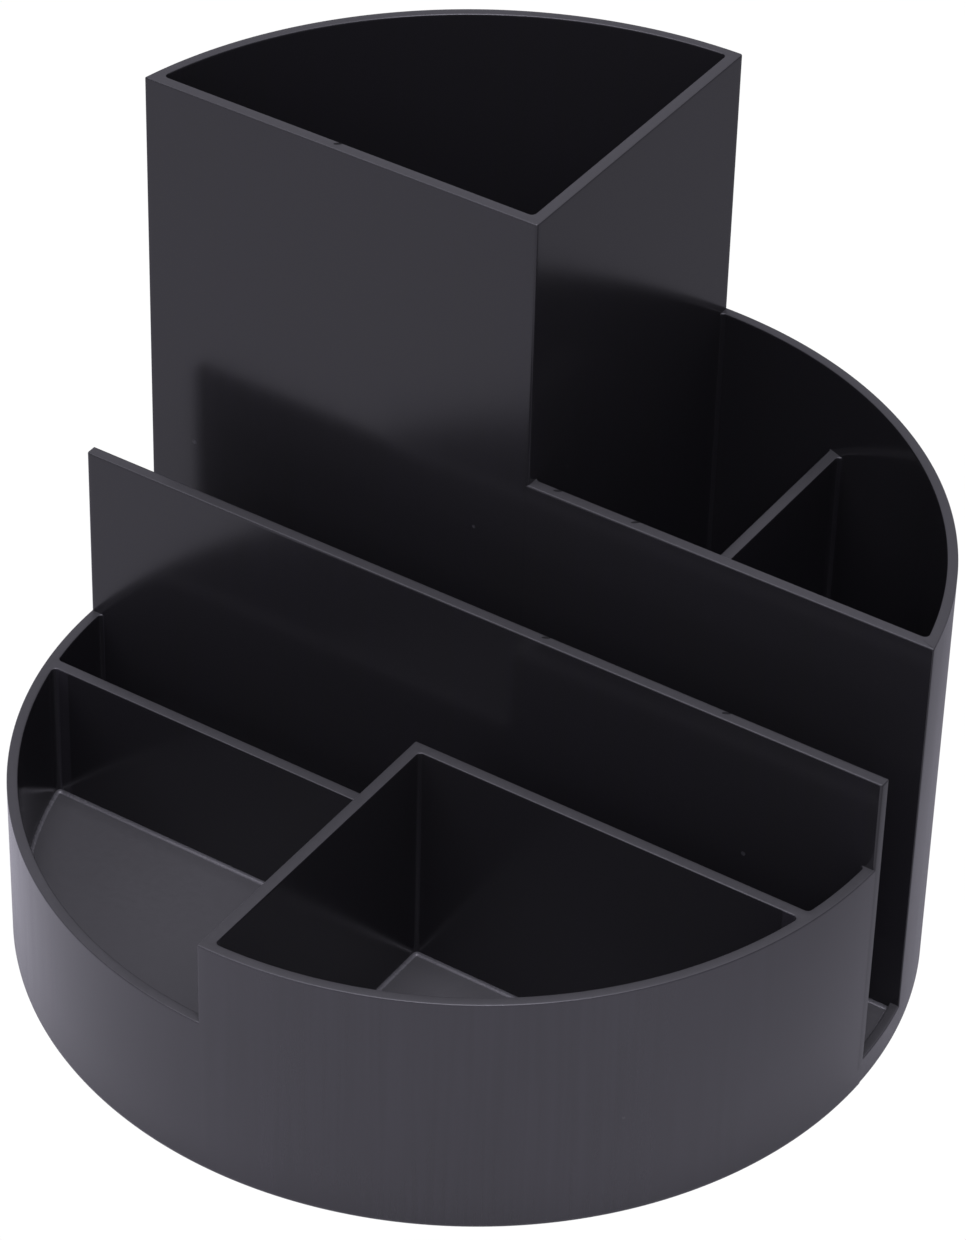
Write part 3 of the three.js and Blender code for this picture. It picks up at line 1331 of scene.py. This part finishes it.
@dataclass
class Nicks(SubAssembly):
    """The few small moulding nicks on the rims."""

    slot_at: tuple[float, ...] = (12.6 * MM, 43.4 * MM)
    tower_at: tuple[float, ...] = (-35.0 * MM,)
    block_at: tuple[float, ...] = (4.5 * MM, 18.0 * MM)
    length: float = 1.4 * MM
    width: float = 0.42 * MM
    aside: float = 0.5 * MM
    sunk: float = 0.05 * MM
    seed: int = 4

    def build(self) -> None:
        """Lays the nicks."""
        at = self.at
        rims = (
            (self.slot_at, at.slot_back, at.slot_top),
            (self.tower_at, at.panel_back, at.tower_top),
            (self.block_at, at.panel_back, at.block_top),
        )
        points = [(x, back - self.aside, top - self.sunk) for places, back, top in rims for x in places]
        # The nicks are raised marks coloured near black, painted shade for the dents' darkness.
        made = grow(
            "rim_nicks",
            NickTree.build(),
            points,
            False,
            Length=self.length,
            Width=self.width,
            Seed=self.seed,
            Finish=NICK_PAINTED_SHADE.build(),
        )
        self.keep(made, Slot.PARTITION)


# ---------------------------------------------------------------- studio


@dataclass(frozen=True)
class Studio:
    """The camera, the floor and the soft light."""

    azimuth: float = 32.247
    elevation: float = 37.818
    roll: float = 1.619
    distance: float = 780.3 * MM
    aside: float = -2.3685 * MM
    above: float = -44.526 * MM
    lens: float = 146.587
    sensor: float = 36.0
    tint: tuple[float, float, float] = (0.985, 0.955, 1.12)
    surround: float = 0.42
    floor_radius: float = 3.0
    # Painted shadow: the floor that the walls mirror darkens along this way, towards the back right where the
    # organizer's shadow falls.
    painted_shadow_way: tuple[float, float, float] = (0.55, 0.83, 0.0)
    painted_shadow_span: tuple[float, float] = (0.0, 0.13)
    painted_shadow_tones: tuple[float, float] = (0.60, 0.27)
    seen_floor: float = 1.02

    def camera(self) -> None:
        """Places the camera in front of the organizer and to its right, looking down on it.

        The camera stands back from the origin by distance, moved aside and up by the named offsets.
        """
        az, el, roll = (math.radians(v) for v in (self.azimuth, self.elevation, self.roll))
        back = Vector((math.sin(az) * math.cos(el), -math.cos(az) * math.cos(el), math.sin(el)))
        level = Vector((math.cos(az), math.sin(az), 0.0))
        upright = back.cross(level)
        right = level * math.cos(roll) + upright * math.sin(roll)
        up = upright * math.cos(roll) - level * math.sin(roll)
        data = bpy.data.cameras.new("camera")
        data.sensor_width, data.lens = self.sensor, self.lens
        data.clip_start, data.clip_end = 0.05, 20.0
        camera = bpy.data.objects.new("camera", data)
        camera.rotation_mode = "QUATERNION"
        camera.location = back * self.distance - right * self.aside - up * self.above
        camera.rotation_quaternion = Matrix((right, up, back)).transposed().to_quaternion()
        bpy.context.scene.collection.objects.link(camera)
        bpy.context.scene.camera = camera

    def floor(self) -> None:
        """Lays a plain pale floor that the camera sees evenly bright; the walls mirror it with a painted shadow,
        darker towards the back right where the organizer's shadow falls.
        """
        bm = bmesh.new()
        bmesh.ops.create_circle(bm, cap_ends=True, segments=96, radius=self.floor_radius)
        made = piece("floor", bm)
        material = bpy.data.materials.new("pale_floor")
        material.use_nodes = True
        tree = material.node_tree
        where = add_node(tree, "ShaderNodeTexCoord", {}).outputs["Object"]
        # Painted shadow in the mirrored floor colour, darker towards the back right.
        along = add_node(tree, "ShaderNodeVectorMath", {0: where, 1: self.painted_shadow_way}, operation="DOT_PRODUCT")
        tones = zip(("From Min", "From Max", "To Min", "To Max"), self.painted_shadow_span + self.painted_shadow_tones)
        painted_shadow_inputs = {"Value": along.outputs["Value"], **dict(tones)}
        painted_shadow = add_node(tree, "ShaderNodeMapRange", painted_shadow_inputs, interpolation_type="SMOOTHSTEP")
        shader = tree.nodes["Principled BSDF"]
        tree.links.new(painted_shadow.outputs["Result"], shader.inputs["Base Color"])
        shader.inputs["Roughness"].default_value = 0.9
        shader.inputs["Specular IOR Level"].default_value = 0.1
        mixed = {
            0: add_node(tree, "ShaderNodeLightPath", {}).outputs["Is Camera Ray"],
            1: shader.outputs["BSDF"],
            2: add_node(tree, "ShaderNodeEmission", {"Strength": self.seen_floor}).outputs["Emission"],
        }
        mix = add_node(tree, "ShaderNodeMixShader", mixed)
        tree.links.new(mix.outputs["Shader"], tree.nodes["Material Output"].inputs["Surface"])
        made.data.materials.append(material)

    def light(self) -> None:
        """Lights the scene with an even pale surround and three soft panels."""
        scene = bpy.context.scene
        world = bpy.data.worlds.new("studio")
        scene.world = world
        world.use_nodes = True
        sky = world.node_tree.nodes["Background"]
        sky.inputs["Color"].default_value = (*self.tint, 1.0)
        sky.inputs["Strength"].default_value = self.surround
        scene.view_settings.view_transform = "Standard"
        for name, place, size, power in (
            ("key_panel", (-0.32, -0.86, 0.84), 0.7, 3.6),
            ("fill_panel", (0.62, -0.70, 1.25), 0.6, 10.0),
            ("top_panel", (0.0, -0.12, 1.5), 0.6, 11.0),
        ):
            data = bpy.data.lights.new(name, "AREA")
            data.shape, data.size, data.energy = "SQUARE", size, power
            data.color = self.tint
            lamp = bpy.data.objects.new(name, data)
            lamp.location = place
            lamp.rotation_mode = "QUATERNION"
            lamp.rotation_quaternion = (-Vector(place)).to_track_quat("-Z", "Y")
            scene.collection.objects.link(lamp)


def main() -> None:
    """Builds the organizer and its studio, and reports each piece."""
    logging.basicConfig(level=logging.INFO, format="%(name)s: %(message)s")
    layout = Layout.from_frame()
    for kind in (Base, Tray, LetterSlot, Block, Tower, Nicks):
        group = kind(layout)
        group.build()
        for made in group.made:
            LOG.info("%s: %s, %d faces", kind.__name__, made.name, len(made.data.polygons))
    studio = Studio()
    studio.floor()
    studio.light()
    studio.camera()


if __name__ == "__main__":
    main()
